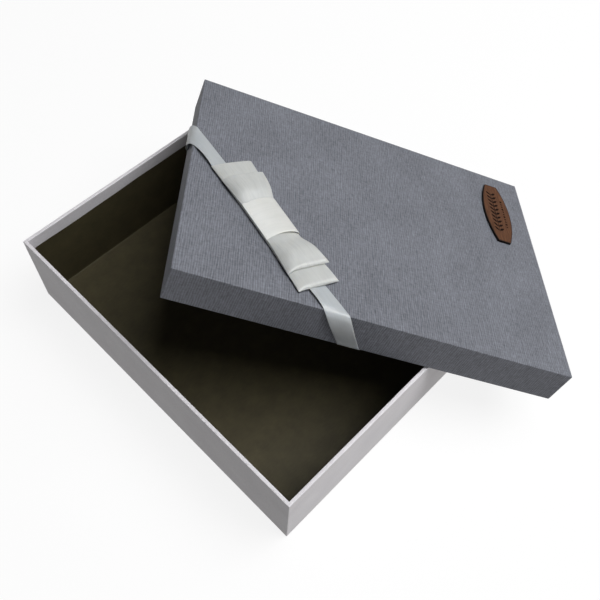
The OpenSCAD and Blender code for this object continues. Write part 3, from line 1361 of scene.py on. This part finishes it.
        surface.strip([row[::-1] for row in rows], [row[::-1] for row in flat], closed=True)
        name = "bow_centre_band_satin"
        # The band wears the satin that is painted lighter: a painted highlight.
        made = surface.piece(name, self.place, "lid", [HIGHLIT_SATIN], ["bow_centre_band"], self.ribbon)
        return made

    def build(self) -> list[Piece]:
        """Makes the bow's three lengths of ribbon."""
        lower = self.loop("bow_lower_loop_satin", "bow_lower_loop", self.lower)
        upper = self.loop("bow_upper_loop_satin", "bow_upper_loop", self.upper)
        return [lower, upper, self.band()]


@dataclass
class Plaque:
    """The laser-cut wooden plaque, with an engraved sprig."""

    lid: Lid
    bevel: float = mm(0.25)
    scorched: float = mm(1.5)
    arc_steps: int = 40
    stem_at: float = mm(-2.4)
    berries_at: float = mm(6.6)
    leaf_size: tuple[float, float] = (mm(6.6), mm(2.3))
    leaf_lean: float = math.radians(48)
    ink: float = mm(0.03)

    def __post_init__(self) -> None:
        """Measures the plaque on its CAD node."""
        points = self.lid.place.points("plaque")
        low, high = self.lid.place.box("plaque")
        self.place = self.lid.place.moved(Vector(((low.x + high.x) / 2, (low.y + high.y) / 2, low.z)))
        self.half_width = (high.x - low.x) / 2
        self.half_length = (high.y - low.y) / 2
        self.thickness = high.z - low.z
        at_end = [p.x for p in points if p.y > high.y - self.bevel]
        self.half_end = (max(at_end) - min(at_end)) / 2

    def outline(self, inset: float) -> list[Vector]:
        """Goes round the plaque once, anticlockwise.

        Args:
            inset: How far inside the cut edge.

        Returns:
            The outline's points.
        """
        bulge = self.half_width - self.half_end
        radius = (self.half_length**2 + bulge**2) / (2 * bulge)
        centre = radius - self.half_width
        reach = self.half_length - inset
        made = []
        for side in (1, -1):
            for step in range(self.arc_steps + 1):
                y = side * reach * (2 * step / self.arc_steps - 1)
                x = math.sqrt((radius - inset) ** 2 - y * y) - centre
                made.append(Vector((side * x, y)))
        return made

    def build(self) -> list[Piece]:
        """Makes the plaque.

        Returns:
            The plaque.
        """
        t = self.thickness
        surface = Surface()
        levels = [
            (self.scorched, t, 0.0),
            (self.scorched / 2, t, 0.35),
            (self.bevel, t, 0.9),
            (0.0, t - self.bevel, 1.0),
            (0.0, 0.0, 1.0),
        ]
        rows = []
        for inset, height, scorch in levels:
            outline = self.outline(inset)
            rows.append([surface.point(Vector((p.x, p.y, height)), scorch) for p in outline])
        count = len(rows[0])
        for upper, lower in zip(rows, rows[1:]):
            for j in range(count):
                k = (j + 1) % count
                corners = [upper[j], lower[j], lower[k], upper[k]]
                flat = [surface.points[n].to_2d() for n in corners]
                surface.face(corners, flat)
        surface.face(rows[0], [surface.points[n].to_2d() for n in rows[0]])
        surface.face(rows[-1][::-1], [surface.points[n].to_2d() for n in rows[-1]][::-1])
        self.engrave(surface)
        nodes = ["plaque"]
        return [surface.piece("plaque_wood", self.place, "lid", [WOOD, CHARRED], nodes)]

    def engrave(self, surface: Surface) -> None:
        """Burns a leafy sprig and a row of berries into the face."""
        for step in range(10):
            root = Vector((self.stem_at, mm(-25) + mm(48) * step / 9))
            for side in (-1, 1):
                self.leaf(surface, root, *self.leaf_size, self.leaf_lean * side)
        self.leaf(surface, Vector((self.stem_at, mm(-29))), mm(60), mm(0.9), 0.0)
        for step in range(11):
            y = mm(-17) + mm(34) * step / 10
            size = mm(3.0) if step % 3 == 1 else mm(2.2)
            self.leaf(surface, Vector((self.berries_at, y - size / 2)), size, size * 0.75, 0.0)

    def leaf(self, surface: Surface, root: Vector, length: float, width: float, turn: float) -> None:
        """Burns one pointed leaf into the face.

        Args:
            surface: The plaque's surface.
            root: Where the leaf starts.
            length: Its length.
            width: Its width.
            turn: How far it leans from the plaque's length, in radians.
        """
        steps = 6
        along = Vector((math.sin(turn), math.cos(turn)))
        across = Vector((along.y, -along.x))
        edge = []
        for step in range(steps):
            s = step / steps
            edge.append(root + along * length * s + across * width / 2 * math.sin(math.pi * s))
        for step in range(steps):
            s = 1 - step / steps
            edge.append(root + along * length * s - across * width / 2 * math.sin(math.pi * s))
        numbers = [surface.point(Vector((p.x, p.y, self.thickness + self.ink))) for p in edge[::-1]]
        surface.face(numbers, edge[::-1], 1)


@dataclass(frozen=True)
class HiddenParts:
    """The boards, tapes and adhesives, which keep their CAD shape."""

    sides: tuple[str, ...] = ("front", "back", "left", "right")
    tapes: tuple[str, ...] = ("tray_corner_stays", "lid_corner_stays")
    papers: tuple[str, ...] = ("tray_underside_sheet",)
    adhesives: tuple[str, ...] = ("bow_glue_pad", "plaque_adhesive")

    def build(self) -> list[Piece]:
        """Dresses the CAD nodes.

        Returns:
            The nodes.
        """
        dressed = []
        walls = [f"{part}_{side}_board" for part in ("tray", "lid") for side in self.sides]
        boards = ["tray_floor_board", "lid_top_board", *walls]
        groups = [(boards, BOARD), (self.tapes, TAPE), (self.papers, COVER), (self.adhesives, GLUE)]
        for names, finish in groups:
            for name in names:
                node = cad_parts[name]
                node.data.materials.clear()
                node.data.materials.append(finish.material())
                dressed.append(node)
        return dressed


@dataclass(frozen=True)
class Studio:
    """A pale sweep, one broad soft light above, and the camera.

    sky and bounce are the dim light from above and from below. A black card on the
    left cuts both: flag_from and flag_to are where its shade starts and ends, from
    -1 at the left to 1 at the right, and flag_left and flag_right the light there.
    """

    room_radius: float = 9.0
    backdrop_height: float = 6.0
    floor_gap: float = mm(0.3)
    light_from: tuple[float, float, float] = (0.305, 0.312, 0.90)
    light_far: float = 2.2
    light_size: float = 1.5
    light_power: float = 47.0
    sky: float = 0.17
    bounce: float = 0.4
    flag_from: float = -0.55
    flag_to: float = 0.65
    flag_left: float = 0.0
    flag_right: float = 1.04
    paper_tint: str = "#fff9f6"
    sky_tint: str = "#fbfdff"
    camera_at: tuple[float, float, float] = (0.23568, -0.21315, 0.57111)
    camera_aim: tuple[float, float, float] = (0.01149, 0.04582, 0.0)
    camera_roll: float = math.radians(4.118)
    lens: float = 44.45
    sensor: float = 36.0

    def sweep(self) -> list[Piece]:
        """Lays the floor and sets a far backdrop all round.

        Returns:
            Both.
        """
        made = []
        steps = 48
        ring = [2 * math.pi * i / steps for i in range(steps)]
        for name, rise in (("studio_floor", 0.0), ("studio_backdrop", self.backdrop_height)):
            far = self.room_radius
            points = [(far * math.cos(a), far * math.sin(a), -self.floor_gap) for a in ring]
            faces = [tuple(range(steps))]
            if rise:
                points += [(x, y, rise) for x, y, _ in points]
                sides = range(steps)
                faces = [((i + 1) % steps, i, i + steps, (i + 1) % steps + steps) for i in sides]
            mesh = bpy.data.meshes.new(name)
            mesh.from_pydata(points, [], faces)
            mesh.materials.append(SWEEP.material())
            piece = bpy.data.objects.new(name, mesh)
            bpy.context.scene.collection.objects.link(piece)
            piece.visible_diffuse = False
            piece.visible_shadow = False
            made.append(piece)
        return made

    def sky_light(self) -> None:
        """Lights the room dimly from above, as bright paper does from below, and
        less from the left, where a black card stands."""
        world = bpy.data.worlds.new("studio")
        world.use_nodes = True
        tree = world.node_tree
        tree.nodes.clear()
        where = add(tree, "ShaderNodeTexCoord").outputs["Generated"]
        axes = add(tree, "ShaderNodeSeparateXYZ", {0: where})
        level = add(
            tree,
            "ShaderNodeMapRange",
            {"Value": axes.outputs["Z"], 1: -0.05, 2: 0.05, 3: self.bounce, 4: self.sky},
        )
        card = add(
            tree,
            "ShaderNodeMapRange",
            {
                "Value": axes.outputs["X"],
                1: self.flag_from,
                2: self.flag_to,
                3: self.flag_left,
                4: self.flag_right,
            },
        )
        shaded = add(
            tree, "ShaderNodeMath", {0: level.outputs[0], 1: card.outputs[0]}, operation="MULTIPLY"
        )
        rise = add(tree, "ShaderNodeMapRange", {"Value": axes.outputs["Z"], 1: -0.1, 2: 0.1})
        colours = {0: rise.outputs[0], 6: linear(self.paper_tint), 7: linear(self.sky_tint)}
        warmth = add(tree, "ShaderNodeMix", colours, data_type="RGBA")
        light = add(
            tree, "ShaderNodeBackground", {"Color": warmth.outputs[2], "Strength": shaded.outputs[0]}
        )
        add(tree, "ShaderNodeOutputWorld", {"Surface": light.outputs[0]})
        bpy.context.scene.world = world

    def key_light(self) -> Piece:
        """Hangs the broad soft light."""
        data = bpy.data.lights.new("key_light", "AREA")
        data.shape = "SQUARE"
        data.size = self.light_size
        data.energy = self.light_power
        light = bpy.data.objects.new("key_light", data)
        towards = Vector(self.light_from).normalized()
        light.location = towards * self.light_far
        light.rotation_mode = "QUATERNION"
        light.rotation_quaternion = towards.to_track_quat("Z", "Y")
        bpy.context.scene.collection.objects.link(light)
        return light

    def camera(self) -> Piece:
        """Sets the camera, and returns it."""
        data = bpy.data.cameras.new("camera")
        data.lens = self.lens
        data.sensor_width = self.sensor
        camera = bpy.data.objects.new("camera", data)
        sight = Vector(self.camera_aim) - Vector(self.camera_at)
        turn = sight.to_track_quat("-Z", "Y").to_matrix() @ Matrix.Rotation(self.camera_roll, 3, "Z")
        camera.location = self.camera_at
        camera.rotation_mode = "QUATERNION"
        camera.rotation_quaternion = turn.to_quaternion()
        bpy.context.scene.collection.objects.link(camera)
        bpy.context.scene.camera = camera
        return camera

    def build(self) -> list[Piece]:
        """Sets up the studio."""
        self.sky_light()
        bpy.context.scene.view_settings.view_transform = "Standard"
        return [*self.sweep(), self.key_light(), self.camera()]


def main() -> None:
    """Builds the box piece by piece."""
    logging.basicConfig(level=logging.INFO, format="%(name)s: %(message)s")
    tray = Tray()
    lid = Lid()
    for part in (tray, lid, RibbonBand(lid), Bow(), Plaque(lid), HiddenParts(), Studio()):
        for piece in part.build():
            log.info("%s made %s", type(part).__name__, piece.name)


if __name__ == "__main__":
    main()
